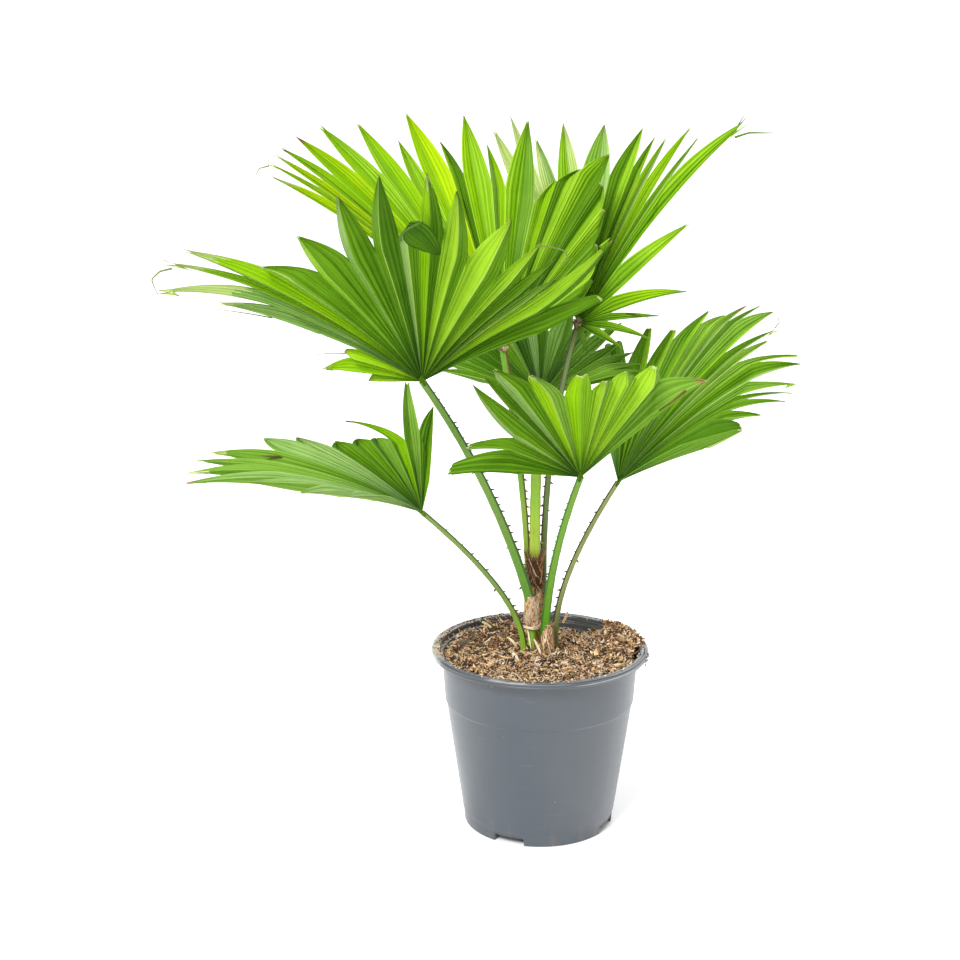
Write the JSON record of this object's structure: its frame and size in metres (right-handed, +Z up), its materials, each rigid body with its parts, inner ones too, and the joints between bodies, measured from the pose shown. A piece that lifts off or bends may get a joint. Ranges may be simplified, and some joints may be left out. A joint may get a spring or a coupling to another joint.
{
  "type": "potted chinese fan palm",
  "caption": "Young Chinese fan palm with pleated fan leaves on slim spiny stalks, growing from fibre-wrapped stems in a round tapered plastic nursery pot.",
  "frame": {"origin": "centre of the pot's flat underside, on the surface that it stands on", "axes": "+Z up along the pot's axis, +X to the viewer's right, +Y away from the viewer, into the scene"},
  "size_m": [0.5968, 0.4934, 0.6785],
  "materials": {
    "pot_plastic": "satin",
    "coir_compost": "matte",
    "stem_fibre": "matte",
    "leaf_stalk": "satin",
    "frond_blade": "satin"
  },
  "bodies": {
    "root": {"pot": "pot_plastic", "compost": "coir_compost", "stem_left": "stem_fibre", "stem_right": "stem_fibre", "stem_back": "stem_fibre", "stalk_a": "leaf_stalk", "stalk_b": "leaf_stalk", "stalk_c": "leaf_stalk", "stalk_d": "leaf_stalk", "stalk_e": "leaf_stalk", "stalk_f": "leaf_stalk", "stalk_g": "leaf_stalk", "frond_a": "frond_blade", "frond_b": "frond_blade", "frond_c": "frond_blade", "frond_d": "frond_blade", "frond_e": "frond_blade", "frond_f": "frond_blade", "frond_g": "frond_blade"}
  },
  "joints": []
}
